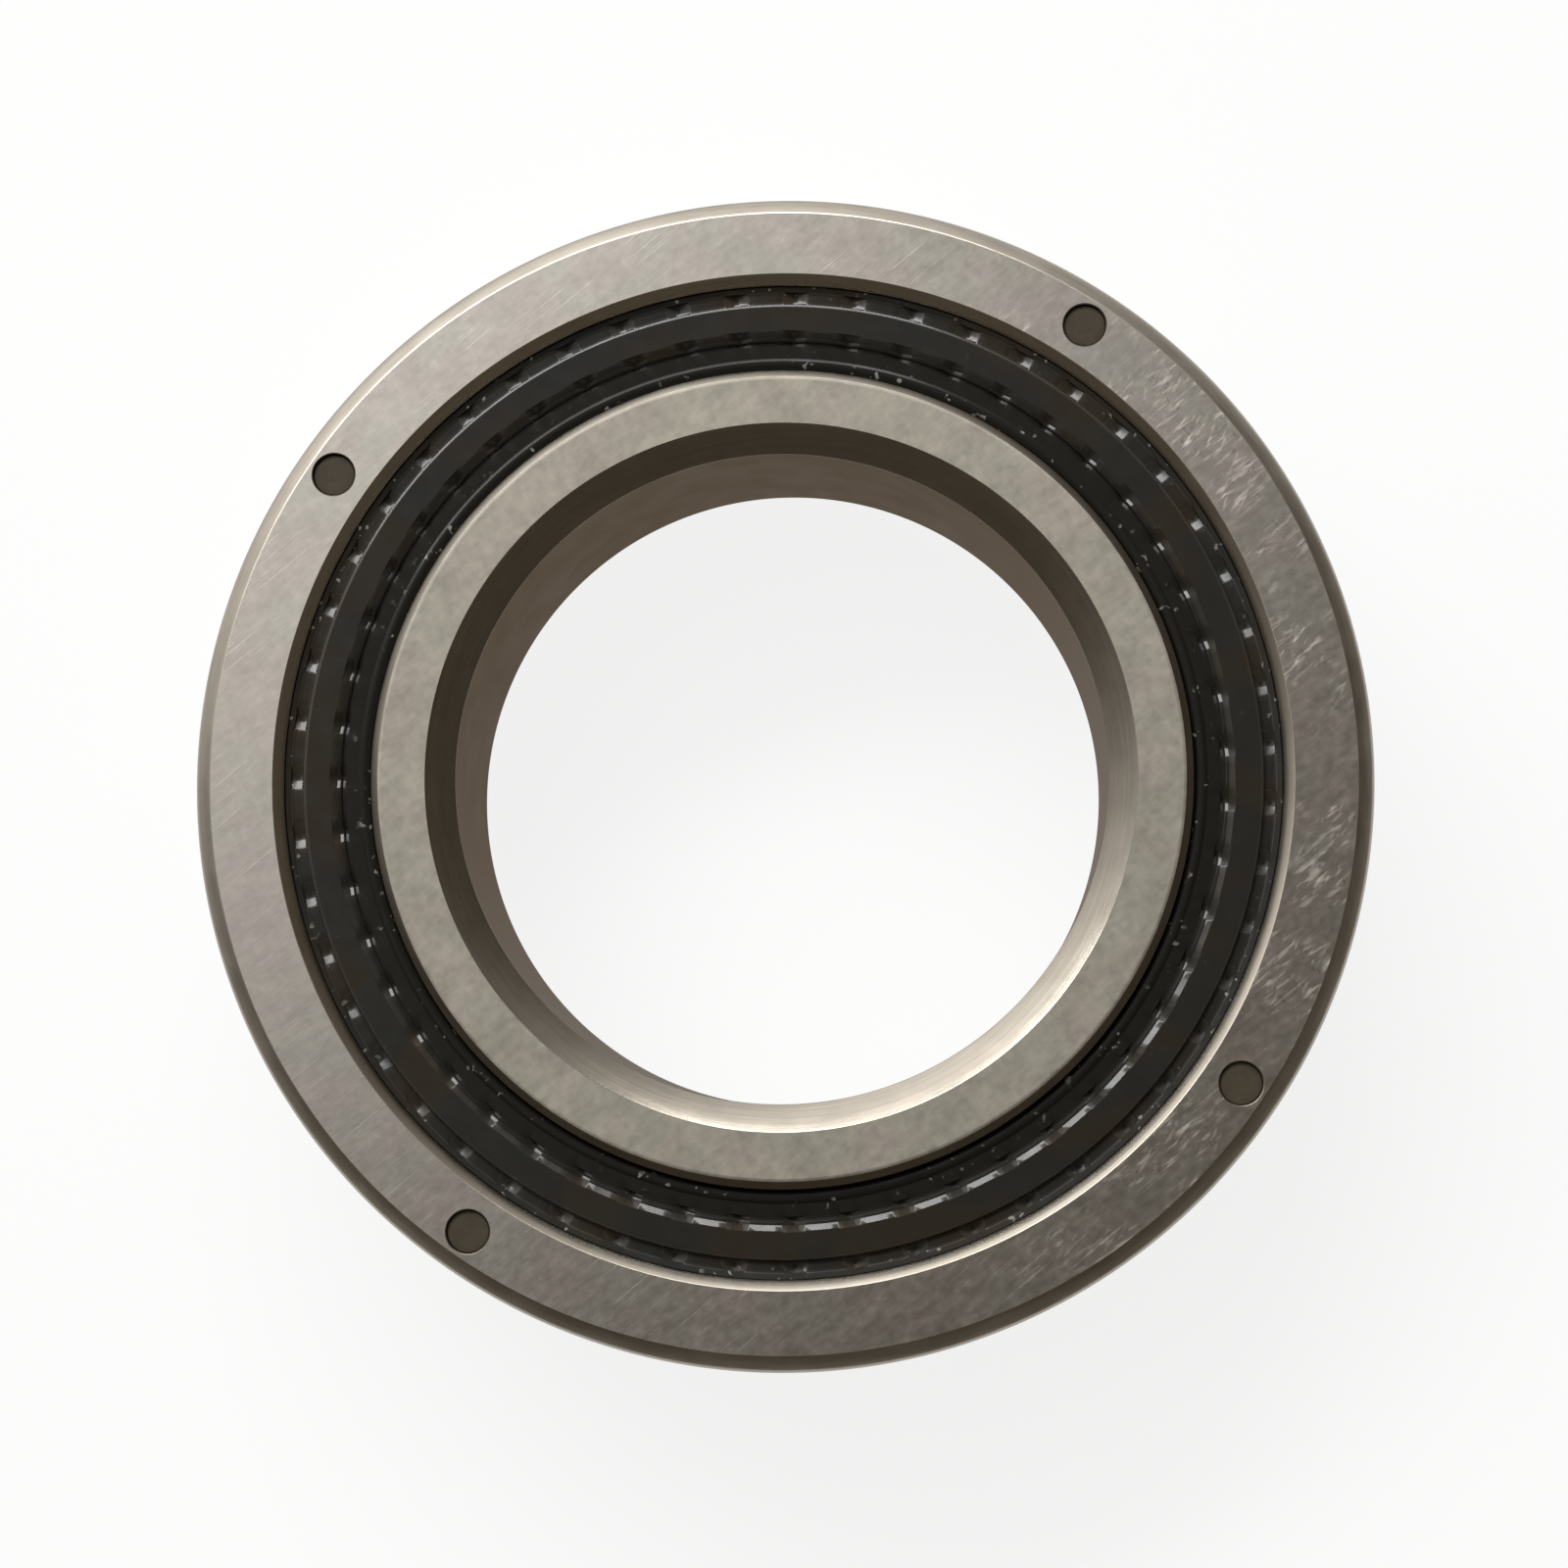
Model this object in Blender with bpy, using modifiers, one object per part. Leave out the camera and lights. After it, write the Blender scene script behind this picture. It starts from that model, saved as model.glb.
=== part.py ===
"""Crossed roller bearing: 20 mm bore, 36 mm outside, 8 mm wide.

The outer ring is split at mid width and its two halves are held by four
joining pins. The inner ring is one piece. Between their two V races runs a
row of short rollers whose axes cross at right angles from one roller to the
next, each parted from its neighbours by a moulded spacer. A rubber seal with
two rows of small notches closes the gap between the rings on each side.

The origin is the centre of the bottom face, and +Z is the bearing's axis.
"""
import math

import bmesh
import bpy
from mathutils import Matrix, Vector

SQRT_2 = math.sqrt(2.0)
SAME_PLACE = 0.00001

# Driving dimensions, in metres and degrees

# Rings
BORE_D = 0.020
WIDTH = 0.008
BORE_TO_ROLLER_CENTRE = 0.0035
ROLLER_CENTRE_TO_OUTSIDE = 0.0045
OUTSIDE_CHAMFER_RADIAL = 0.0005
OUTSIDE_CHAMFER_AXIAL = 0.00035
BORE_CHAMFER_RADIAL = 0.00085
BORE_CHAMFER_AXIAL = 0.0006
INNER_FACE_LAND = 0.0014
INNER_FACE_CHAMFER_RADIAL = 0.0003
INNER_FACE_CHAMFER_AXIAL = 0.00024
OUTER_FACE_LAND = 0.00195
SEAT_CHAMFER = 0.0003
SHOULDER_GAP = 0.0006
SPLIT_GAP = 0.00004

# Rollers and spacers
ROLLER_COUNT = 24
ROLLER_D = 0.0025
ROLLER_SHORTER_BY = 0.00015
ROLLER_CHAMFER = 0.00012
ROLLER_TILT_DEG = 45.0
RACE_CLEARANCE = 0.00005
SPACER_SIDE_CLEARANCE = 0.00015
SPACER_SEAT_CLEARANCE = 0.00006
SPACER_WRAP_DEG = 54.0

# Joining pins and grease feed in the outer ring
PIN_COUNT = 4
PIN_INSET = 0.0013
PIN_D = 0.00124
PIN_CLEARANCE = 0.00004
PIN_RECESS = 0.00035
PIN_CHAMFER = 0.0001
FIRST_PIN_DEG = 56.0
CUT_OVERRUN = 0.001
GREASE_GROOVE_WIDTH = 0.002
GREASE_GROOVE_DEPTH = 0.0004
GREASE_HOLE_D = 0.0008

# Seals
SEAL_POCKET_DEPTH = 0.0013
SEAL_CLEARANCE = 0.00005
SEAL_BEAD_HEIGHT = 0.0004
SEAL_BEAD_DEPTH = 0.0003
SEAL_RECESS = 0.00025
SEAL_OUTER_SLOPE = 0.00058
SEAL_OUTER_DROP = 0.0003
SEAL_LIP_SLOPE = 0.00112
SEAL_LIP_DROP = 0.00035
SEAL_LIP_THICKNESS = 0.00035
NOTCH_COUNT = 51
FIRST_NOTCH_DEG = 3.7
NOTCH_DEPTH = 0.00012

# Smoothness of the round shapes
RING_STEPS = 48
ROLLER_SIDES = 12
SEAT_SIDES = 12
PIN_SIDES = 12
GREASE_HOLE_SIDES = 8
SHARP_ANGLE_DEG = 30.0

# Sizes that follow from them
MID = WIDTH / 2
BORE_R = BORE_D / 2
PITCH_R = BORE_R + BORE_TO_ROLLER_CENTRE
OUTSIDE_R = PITCH_R + ROLLER_CENTRE_TO_OUTSIDE
RACE_REACH = (ROLLER_D / 2 + RACE_CLEARANCE) * SQRT_2
RACE_HALF_OPENING = RACE_REACH - SHOULDER_GAP / 2
INNER_SHOULDER_R = PITCH_R - SHOULDER_GAP / 2
OUTER_SHOULDER_R = PITCH_R + SHOULDER_GAP / 2
COLLAR_R = BORE_R + BORE_CHAMFER_RADIAL + INNER_FACE_LAND + INNER_FACE_CHAMFER_RADIAL
SEAT_R = OUTSIDE_R - OUTSIDE_CHAMFER_RADIAL - OUTER_FACE_LAND - SEAT_CHAMFER
SEAL_GROOVE_R = SEAT_R + SEAL_BEAD_DEPTH
SEAL_WALL_R = SEAT_R - SEAL_CLEARANCE
SEAL_LIP_R = COLLAR_R + SEAL_CLEARANCE
BAND_OUTER_R = SEAL_WALL_R - SEAL_OUTER_SLOPE
BAND_INNER_R = SEAL_LIP_R + SEAL_LIP_SLOPE
BAND_HEIGHT = MID - SEAL_RECESS
POCKET_FLOOR = MID - SEAL_POCKET_DEPTH
GREASE_GROOVE_R = OUTSIDE_R - GREASE_GROOVE_DEPTH
PIN_PITCH_R = OUTSIDE_R - PIN_INSET
ROLLER_PITCH_DEG = 360.0 / ROLLER_COUNT
PIN_PITCH_DEG = 360.0 / PIN_COUNT


# Scene helpers

def clear_scene():
    for obj in list(bpy.data.objects):
        bpy.data.objects.remove(obj, do_unlink=True)


def new_collection(name):
    collection = bpy.data.collections.new(name)
    bpy.context.scene.collection.children.link(collection)
    return collection


def new_material(name, color, roughness, metallic):
    material = bpy.data.materials.new(name)
    material.use_nodes = True
    shader = material.node_tree.nodes["Principled BSDF"]
    shader.inputs["Base Color"].default_value = (*color, 1.0)
    shader.inputs["Roughness"].default_value = roughness
    shader.inputs["Metallic"].default_value = metallic
    material.diffuse_color = (*color, 1.0)
    return material


def add_object(name, mesh, collection, material=None):
    obj = bpy.data.objects.new(name, mesh)
    collection.objects.link(obj)
    if material and not mesh.materials:
        mesh.materials.append(material)
    return obj


def add_cutter(name, mesh, collection):
    cutter = add_object(name, mesh, collection)
    cutter.hide_render = True
    cutter.display_type = "WIRE"
    return cutter


def cut(obj, cutter):
    boolean = obj.modifiers.new("cut_" + cutter.name, "BOOLEAN")
    boolean.operation = "DIFFERENCE"
    boolean.solver = "EXACT"
    boolean.object = cutter


def apply_modifiers(obj):
    """Replace the object's mesh by its evaluated one, with the round faces shaded smooth."""
    depsgraph = bpy.context.evaluated_depsgraph_get()
    mesh = bpy.data.meshes.new_from_object(obj.evaluated_get(depsgraph))
    mesh.name = obj.name
    obj.modifiers.clear()
    obj.data = mesh
    shade(mesh)


def shade(mesh):
    mesh.shade_smooth()
    mesh.set_sharp_from_angle(angle=math.radians(SHARP_ANGLE_DEG))


# Shapes

def turned(name, section, steps, collection, material):
    """Turn a closed section about Z. The section lists (radius, z), outer side downwards."""
    mesh = bpy.data.meshes.new(name)
    points = [(radius, 0.0, z) for radius, z in section]
    edges = [(i, (i + 1) % len(points)) for i in range(len(points))]
    mesh.from_pydata(points, edges, [])
    obj = add_object(name, mesh, collection, material)
    screw = obj.modifiers.new("turn", "SCREW")
    screw.axis = "Z"
    screw.angle = 2 * math.pi
    screw.steps = steps
    screw.render_steps = steps
    screw.use_merge_vertices = True
    screw.merge_threshold = SAME_PLACE / 10
    return obj


def on_side(section, side):
    """Place a section given as (radius, height above mid width) on the upper or lower side."""
    placed = [(radius, MID + side * height) for radius, height in section]
    if side < 0:
        placed.reverse()
    return placed


def cylinder_mesh(name, radius, length, sides, chamfer=0.0):
    """A cylinder about its own Z, centred on its origin."""
    shape = bmesh.new()
    bmesh.ops.create_cone(
        shape, cap_ends=True, segments=sides, radius1=radius, radius2=radius, depth=length
    )
    if chamfer:
        rims = [edge for edge in shape.edges if abs(edge.verts[0].co.z - edge.verts[1].co.z) < SAME_PLACE]
        bmesh.ops.bevel(shape, geom=rims, offset=chamfer, segments=1, affect="EDGES")
    mesh = bpy.data.meshes.new(name)
    shape.to_mesh(mesh)
    shape.free()
    shade(mesh)
    return mesh


def joined_cylinders(name, radius, length, sides, places):
    """One mesh with a copy of the same cylinder at each of the given places."""
    shape = bmesh.new()
    for place in places:
        bmesh.ops.create_cone(
            shape,
            cap_ends=True,
            segments=sides,
            radius1=radius,
            radius2=radius,
            depth=length,
            matrix=place,
        )
    mesh = bpy.data.meshes.new(name)
    shape.to_mesh(mesh)
    shape.free()
    return mesh


def around_flats(radius, sides):
    """Corner radius of a polygon whose flats just clear a circle of the given radius."""
    return radius / math.cos(math.pi / sides)


def on_circle(radius, angle_deg, z):
    """A frame on a circle about Z: its X points outwards and its Y along the circle."""
    turn = Matrix.Rotation(math.radians(angle_deg), 4, "Z")
    return turn @ Matrix.Translation(Vector((radius, 0.0, z)))


def tilted(angle_deg):
    return Matrix.Rotation(math.radians(angle_deg), 4, "Y")


def roller_tilt(index):
    """Alternate rollers lean outwards and inwards, so that neighbours cross at right angles."""
    return ROLLER_TILT_DEG if index % 2 == 0 else -ROLLER_TILT_DEG


# Inner ring

def inner_half_section():
    """Upper half of the inner ring's section, from the bore round the face to the race."""
    return [
        (BORE_R, MID - BORE_CHAMFER_AXIAL),
        (BORE_R + BORE_CHAMFER_RADIAL, MID),
        (COLLAR_R - INNER_FACE_CHAMFER_RADIAL, MID),
        (COLLAR_R, MID - INNER_FACE_CHAMFER_AXIAL),
        (COLLAR_R, POCKET_FLOOR),
        (INNER_SHOULDER_R, POCKET_FLOOR),
        (INNER_SHOULDER_R, RACE_HALF_OPENING),
    ]


def build_inner_ring(collection, material):
    race_bottom = (PITCH_R - RACE_REACH, 0.0)
    upper = inner_half_section()
    lower = [(radius, -height) for radius, height in reversed(upper)]
    section = [(radius, MID + height) for radius, height in upper + [race_bottom] + lower]
    ring = turned("inner_ring", section, RING_STEPS, collection, material)
    apply_modifiers(ring)
    return ring


# Outer ring halves

def outer_half_section():
    """Section of one outer ring half, with its grease groove, race, seal pocket and seal groove."""
    split = SPLIT_GAP / 2
    groove_top = POCKET_FLOOR + SEAL_BEAD_HEIGHT + 2 * SEAL_CLEARANCE
    return [
        (OUTSIDE_R - OUTSIDE_CHAMFER_RADIAL, MID),
        (OUTSIDE_R, MID - OUTSIDE_CHAMFER_AXIAL),
        (OUTSIDE_R, GREASE_GROOVE_WIDTH / 2),
        (GREASE_GROOVE_R, GREASE_GROOVE_WIDTH / 2),
        (GREASE_GROOVE_R, split),
        (PITCH_R + RACE_REACH - split, split),
        (OUTER_SHOULDER_R, RACE_HALF_OPENING),
        (OUTER_SHOULDER_R, POCKET_FLOOR),
        (SEAL_GROOVE_R, POCKET_FLOOR),
        (SEAL_GROOVE_R, groove_top),
        (SEAT_R, groove_top),
        (SEAT_R, MID - SEAT_CHAMFER),
        (SEAT_R + SEAT_CHAMFER, MID),
    ]


def pin_angles():
    return [FIRST_PIN_DEG + index * PIN_PITCH_DEG for index in range(PIN_COUNT)]


def pin_hole_cutter(collection):
    radius = around_flats(PIN_D / 2 + PIN_CLEARANCE, PIN_SIDES)
    places = [on_circle(PIN_PITCH_R, angle, MID) for angle in pin_angles()]
    mesh = joined_cylinders("pin_holes", radius, WIDTH + 2 * CUT_OVERRUN, PIN_SIDES, places)
    return add_cutter("pin_holes", mesh, collection)


def grease_hole_cutter(collection):
    """Radial holes at the split, halfway between the pins, from the grease groove to the race."""
    length = ROLLER_CENTRE_TO_OUTSIDE
    along_radius = tilted(90.0)
    places = [
        on_circle(PITCH_R + length / 2, angle + PIN_PITCH_DEG / 2, MID) @ along_radius
        for angle in pin_angles()
    ]
    mesh = joined_cylinders("grease_holes", GREASE_HOLE_D / 2, length, GREASE_HOLE_SIDES, places)
    return add_cutter("grease_holes", mesh, collection)


def build_outer_halves(collection, cutters, material):
    holes = [pin_hole_cutter(cutters), grease_hole_cutter(cutters)]
    for name, side in (("outer_ring_upper", 1), ("outer_ring_lower", -1)):
        section = on_side(outer_half_section(), side)
        half = turned(name, section, RING_STEPS, collection, material)
        for hole in holes:
            cut(half, hole)
        apply_modifiers(half)


def build_joining_pins(collection, material):
    length = WIDTH - 2 * PIN_RECESS
    mesh = cylinder_mesh("joining_pin", PIN_D / 2, length, PIN_SIDES, PIN_CHAMFER)
    for index, angle in enumerate(pin_angles(), start=1):
        pin = add_object(f"joining_pin_{index}", mesh, collection, material)
        pin.matrix_world = on_circle(PIN_PITCH_R, angle, MID)


# Seals

def seal_section():
    """Section of one seal: bead in its groove, outer slope, flat band, lip and underside."""
    bead_r = SEAL_GROOVE_R - SEAL_CLEARANCE
    base = POCKET_FLOOR + SEAL_CLEARANCE
    bead_top = base + SEAL_BEAD_HEIGHT
    lip_top = BAND_HEIGHT - SEAL_LIP_DROP
    return [
        (BAND_OUTER_R, BAND_HEIGHT),
        (SEAL_WALL_R, BAND_HEIGHT - SEAL_OUTER_DROP),
        (SEAL_WALL_R, bead_top),
        (bead_r, bead_top),
        (bead_r, base),
        (SEAL_LIP_R, lip_top - SEAL_LIP_THICKNESS),
        (SEAL_LIP_R, lip_top),
        (BAND_INNER_R, BAND_HEIGHT),
    ]


def press_notches(mesh, side):
    """Lower every second corner of the band's two edges, which leaves a row of notches in each."""
    band_z = MID + side * BAND_HEIGHT
    notch_step = 2 * math.pi / NOTCH_COUNT
    quarter_step = 0.25
    for vertex in mesh.vertices:
        radius = math.hypot(vertex.co.x, vertex.co.y)
        on_band_edge = min(abs(radius - BAND_OUTER_R), abs(radius - BAND_INNER_R)) < SAME_PLACE
        steps = math.atan2(vertex.co.y, vertex.co.x) / notch_step
        in_notch = abs(steps - round(steps)) < quarter_step
        if on_band_edge and in_notch and abs(vertex.co.z - band_z) < SAME_PLACE:
            vertex.co.z -= side * NOTCH_DEPTH


def build_seals(collection, material):
    for name, side in (("upper_seal", 1), ("lower_seal", -1)):
        section = on_side(seal_section(), side)
        seal = turned(name, section, 2 * NOTCH_COUNT, collection, material)
        apply_modifiers(seal)
        press_notches(seal.data, side)
        seal.rotation_euler.z = math.radians(FIRST_NOTCH_DEG)


# Rollers and spacers

def build_rollers(collection, parent, material):
    length = ROLLER_D - ROLLER_SHORTER_BY
    mesh = cylinder_mesh("roller", ROLLER_D / 2, length, ROLLER_SIDES, ROLLER_CHAMFER)
    for index in range(ROLLER_COUNT):
        roller = add_object(f"roller_{index + 1:02d}", mesh, collection, material)
        roller.parent = parent
        place = on_circle(PITCH_R, index * ROLLER_PITCH_DEG, MID)
        roller.matrix_world = place @ tilted(roller_tilt(index))


def spacer_mesh(first_tilt, collection, cutters):
    """A square block turned to fit the two V races, hollowed on both ends by its rollers."""
    half_pitch = ROLLER_PITCH_DEG / 2
    seat_r = ROLLER_D / 2 + SPACER_SEAT_CLEARANCE
    centre_distance = PITCH_R * math.sin(math.radians(half_pitch))
    half_length = centre_distance - seat_r * math.cos(math.radians(SPACER_WRAP_DEG))
    side = ROLLER_D + 2 * (RACE_CLEARANCE - SPACER_SIDE_CLEARANCE)
    block = bmesh.new()
    bmesh.ops.create_cube(block, size=1.0)
    size = Matrix.Diagonal((side, 2 * half_length, side, 1.0))
    bmesh.ops.transform(block, matrix=tilted(45.0) @ size, verts=block.verts)
    mesh = bpy.data.meshes.new("spacer_block")
    block.to_mesh(mesh)
    block.free()
    spacer = add_object("spacer_block", mesh, collection)
    to_block = Matrix.Translation(Vector((-PITCH_R, 0.0, 0.0)))
    corner_r = around_flats(seat_r, SEAT_SIDES)
    for angle, tilt in ((-half_pitch, first_tilt), (half_pitch, -first_tilt)):
        seat = cylinder_mesh("roller_seat", corner_r, 2 * ROLLER_D, SEAT_SIDES)
        cutter = add_cutter("roller_seat", seat, cutters)
        cutter.matrix_world = to_block @ on_circle(PITCH_R, angle, 0.0) @ tilted(tilt)
        cut(spacer, cutter)
    bpy.context.view_layer.update()
    apply_modifiers(spacer)
    result = spacer.data
    bpy.data.objects.remove(spacer, do_unlink=True)
    return result


def build_spacers(collection, cutters, parent, material):
    meshes = [spacer_mesh(roller_tilt(index), collection, cutters) for index in range(2)]
    for index in range(ROLLER_COUNT):
        spacer = add_object(f"spacer_{index + 1:02d}", meshes[index % 2], collection, material)
        spacer.parent = parent
        spacer.matrix_world = on_circle(PITCH_R, (index + 0.5) * ROLLER_PITCH_DEG, MID)


def main():
    clear_scene()
    bearing = new_collection("crossed_roller_bearing")
    cutters = new_collection("cutters")
    ring_steel = new_material("ring_steel", (0.38, 0.35, 0.31), 0.35, 1.0)
    roller_steel = new_material("roller_steel", (0.62, 0.62, 0.63), 0.15, 1.0)
    pin_steel = new_material("pin_steel", (0.08, 0.07, 0.05), 0.5, 0.8)
    spacer_resin = new_material("spacer_resin", (0.72, 0.68, 0.58), 0.5, 0.0)
    seal_rubber = new_material("seal_rubber", (0.02, 0.02, 0.02), 0.4, 0.0)
    row_centre = bpy.data.objects.new("roller_row", None)
    bearing.objects.link(row_centre)
    build_inner_ring(bearing, ring_steel)
    build_outer_halves(bearing, cutters, ring_steel)
    build_joining_pins(bearing, pin_steel)
    build_seals(bearing, seal_rubber)
    build_rollers(bearing, row_centre, roller_steel)
    build_spacers(bearing, cutters, row_centre, spacer_resin)


main()
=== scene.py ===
"""Looks of a sealed crossed roller bearing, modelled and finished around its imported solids.

Sections are lists of (radius, height) in millimetres, where the height is taken from the bottom face.
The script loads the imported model, adds its pieces and stage by operators, and sets the camera.
"""
import math

import bmesh
import bpy
from mathutils import Matrix, Vector


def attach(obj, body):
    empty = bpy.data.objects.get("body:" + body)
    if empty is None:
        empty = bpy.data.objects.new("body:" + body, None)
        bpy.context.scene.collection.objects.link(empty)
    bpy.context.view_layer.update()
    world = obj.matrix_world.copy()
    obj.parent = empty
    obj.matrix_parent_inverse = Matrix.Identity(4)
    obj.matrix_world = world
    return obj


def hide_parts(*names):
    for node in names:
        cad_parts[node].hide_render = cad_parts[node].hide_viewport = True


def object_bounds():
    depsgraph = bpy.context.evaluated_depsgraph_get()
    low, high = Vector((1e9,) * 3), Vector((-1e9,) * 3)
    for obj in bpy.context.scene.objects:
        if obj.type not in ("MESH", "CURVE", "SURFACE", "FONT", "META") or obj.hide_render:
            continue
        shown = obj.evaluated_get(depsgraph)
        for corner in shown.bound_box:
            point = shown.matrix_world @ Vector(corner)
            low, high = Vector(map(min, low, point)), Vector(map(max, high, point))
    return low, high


bl_info = {
    "name": "Crossed roller bearing",
    "version": (1, 0, 0),
    "blender": (4, 5, 0),
    "location": "3D View > Sidebar > Bearing",
    "description": "Models and finishes a sealed crossed roller bearing around its packed solids",
    "category": "Object",
}

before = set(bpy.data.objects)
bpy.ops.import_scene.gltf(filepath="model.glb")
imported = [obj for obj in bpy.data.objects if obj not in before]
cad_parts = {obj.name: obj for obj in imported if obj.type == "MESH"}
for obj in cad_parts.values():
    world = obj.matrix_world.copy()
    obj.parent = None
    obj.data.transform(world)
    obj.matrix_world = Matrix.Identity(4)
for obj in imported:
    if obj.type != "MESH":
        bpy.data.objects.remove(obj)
CAD_BOX = [list(corner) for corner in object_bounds()]

MM = 0.001
SAME_PLACE = 0.000001

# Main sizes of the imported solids, in millimetres and degrees
WIDTH = CAD_BOX[1][2] / MM
MID = WIDTH / 2
OUTSIDE_R = CAD_BOX[1][0] / MM
BORE_R = 10.0
PITCH_R = 13.5
PIN_PITCH_R = OUTSIDE_R - 1.3
PIN_ANGLES = (56.0, 146.0, 236.0, 326.0)
ROLLER_COUNT = 24
ROLLER_R = 1.25
ROLLER_LENGTH = 2.35
GREASE_HOLE_R = 0.4
SPACER_SIDE = 2.3
SPACER_CLEARANCE = 0.06
# How far round its roller a spacer's hollow reaches
SPACER_REACH_DEG = 54
SEAL_NOTCH_R = 14.2

# Small edges and facets that only the visible pieces have, in millimetres
OUTSIDE_ROUNDING = 0.14
PIN_EDGE = 0.05
PIN_CENTRE_INSET = 0.2
PIN_HOLE_CLEARANCE = 0.02
ROLLER_EDGE = 0.11
ROLLER_CENTRE_INSET = 0.5
SPACER_EDGE = 0.12
SEAL_ROUNDING = 0.02
ROUND_SIDES = 48
SHARP_ANGLE = math.radians(32)
SEAL_SHARP_ANGLE = math.radians(24)


# Sizes and colours that a user would change

def length(name, description, default):
    return bpy.props.FloatProperty(
        name=name, description=description, default=default * MM, min=0.0, unit="LENGTH", precision=6
    )


def colour(name, description, default):
    return bpy.props.FloatVectorProperty(
        name=name, description=description, default=default, size=3, min=0.0, max=1.0, subtype="COLOR"
    )


class BearingSizes(bpy.types.PropertyGroup):
    """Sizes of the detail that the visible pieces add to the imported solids."""

    ring_steps: bpy.props.IntProperty(
        name="Ring steps", description="Flats in one turn of a ring", default=256, min=64, max=512
    )
    edge_fillet: length("Edge fillet", "Rounding of the rings' edges", 0.03)
    hole_flare: length("Hole flare", "Width of the small chamfer at the mouth of a pin hole", 0.03)
    pin_radius: length("Pin radius", "Radius of a joining pin", 0.64)
    pin_recess: length("Pin recess", "Depth of a joining pin's end below the face", 0.12)
    notch_count: bpy.props.IntProperty(
        name="Notches", description="Notches in each row round a seal", default=51, min=12, max=120
    )
    first_notch: bpy.props.FloatProperty(
        name="First notch",
        description="Angle of the first notch from the X axis",
        default=math.radians(3.7),
        subtype="ANGLE",
    )
    notch_floor: length("Notch floor", "Half the width of a notch's flat floor", 0.06)
    notch_wall: length("Notch wall", "Width of the sloping wall at each end of a notch", 0.32)


class BearingColours(bpy.types.PropertyGroup):
    """Colours of the finishes, as they look under plain light."""

    ground_steel: colour("Ground steel", "Ground faces of the outer ring", (0.5, 0.465, 0.425))
    inner_steel: colour("Inner steel", "Ground faces of the inner ring", (0.37, 0.345, 0.3))
    turned_steel: colour("Turned steel", "Chamfers, grooves and seats of the rings", (0.36, 0.325, 0.275))
    # The bore's colour is darker than the rings' steel: painted shade for the deep bore.
    bore_steel_painted_shade: colour("Bore steel", "Wall of the bore", (0.23, 0.205, 0.178))
    pin_steel: colour("Pin steel", "Dark ends of the joining pins", (0.05, 0.041, 0.027))
    roller_steel: colour("Roller steel", "Polished rollers", (0.62, 0.61, 0.59))
    seal_rubber: colour("Seal rubber", "Rubber of the seals", (0.0172, 0.017, 0.0151))
    spacer_resin: colour("Spacer resin", "Moulded spacers", (0.66, 0.6, 0.47))


# Modelling helpers

def start_fresh():
    """Leave edit mode with nothing selected."""
    if bpy.context.mode != "OBJECT":
        bpy.ops.object.mode_set(mode="OBJECT")
    bpy.ops.object.select_all(action="DESELECT")


def make_active(piece):
    start_fresh()
    piece.select_set(True)
    bpy.context.view_layer.objects.active = piece


def edit(piece, kind="VERT"):
    make_active(piece)
    bpy.ops.object.mode_set(mode="EDIT")
    bpy.ops.mesh.select_mode(type=kind)
    bpy.ops.mesh.select_all(action="DESELECT")


def finish_edit():
    bpy.ops.object.mode_set(mode="OBJECT")


def name_piece(name):
    piece = bpy.context.active_object
    piece.name = name
    piece.data.name = name
    return piece


def apply_place(piece):
    make_active(piece)
    bpy.ops.object.transform_apply(location=True, rotation=True, scale=True)


def radius_of(point):
    return math.hypot(point.x, point.y) / MM


def choose_vertices(piece, wanted):
    shape = bmesh.from_edit_mesh(piece.data)
    for vertex in shape.verts:
        vertex.select = wanted(vertex)
    shape.select_flush(True)
    bmesh.update_edit_mesh(piece.data)


def choose_only(piece, kind, wanted):
    """Select the edges or faces that meet the test, and nothing else."""
    shape = bmesh.from_edit_mesh(piece.data)
    for part in (*shape.verts, *shape.edges, *shape.faces):
        part.select = False
    for part in getattr(shape, kind):
        if wanted(part):
            part.select_set(True)
    bmesh.update_edit_mesh(piece.data)


def choose_edges(piece, wanted):
    choose_only(piece, "edges", wanted)


def choose_faces(piece, wanted):
    choose_only(piece, "faces", wanted)


def close_seams():
    bpy.ops.mesh.select_all(action="SELECT")
    bpy.ops.mesh.remove_doubles(threshold=SAME_PLACE)
    bpy.ops.mesh.normals_make_consistent(inside=False)


def draw_section(name, section):
    """Extrude one corner from point to point of a closed section, which lies over the X axis."""
    start_fresh()
    radius, height = section[0]
    bpy.ops.mesh.primitive_plane_add(size=MM, location=(radius * MM, 0, height * MM))
    piece = name_piece(name)
    apply_place(piece)
    edit(piece)
    bpy.ops.mesh.select_all(action="SELECT")
    bpy.ops.mesh.merge(type="CENTER")
    for (radius, height), (next_radius, next_height) in zip(section, section[1:]):
        step = ((next_radius - radius) * MM, 0, (next_height - height) * MM)
        bpy.ops.mesh.extrude_region_move(TRANSFORM_OT_translate={"value": step})
    choose_vertices(piece, lambda vertex: len(vertex.link_edges) < 2)
    bpy.ops.mesh.edge_face_add()
    return piece


def spin(steps, angle, copies=False):
    bpy.ops.mesh.spin(steps=steps, angle=angle, dupli=copies, center=(0, 0, 0), axis=(0, 0, 1))


def turn_ring(name, section, steps):
    """A ring turned from a closed section."""
    ring = draw_section(name, section)
    bpy.ops.mesh.select_all(action="SELECT")
    spin(steps, 2 * math.pi)
    close_seams()
    finish_edit()
    return ring


def on_ring(place):
    """A test for edges that run round the axis at one of the given (radius, height) places."""
    def test(one):
        for radius, height in place:
            if all(
                abs(radius_of(vertex.co) - radius) < 0.002 and abs(vertex.co.z / MM - height) < 0.002
                for vertex in one.verts
            ):
                return True
        return False
    return test


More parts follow.
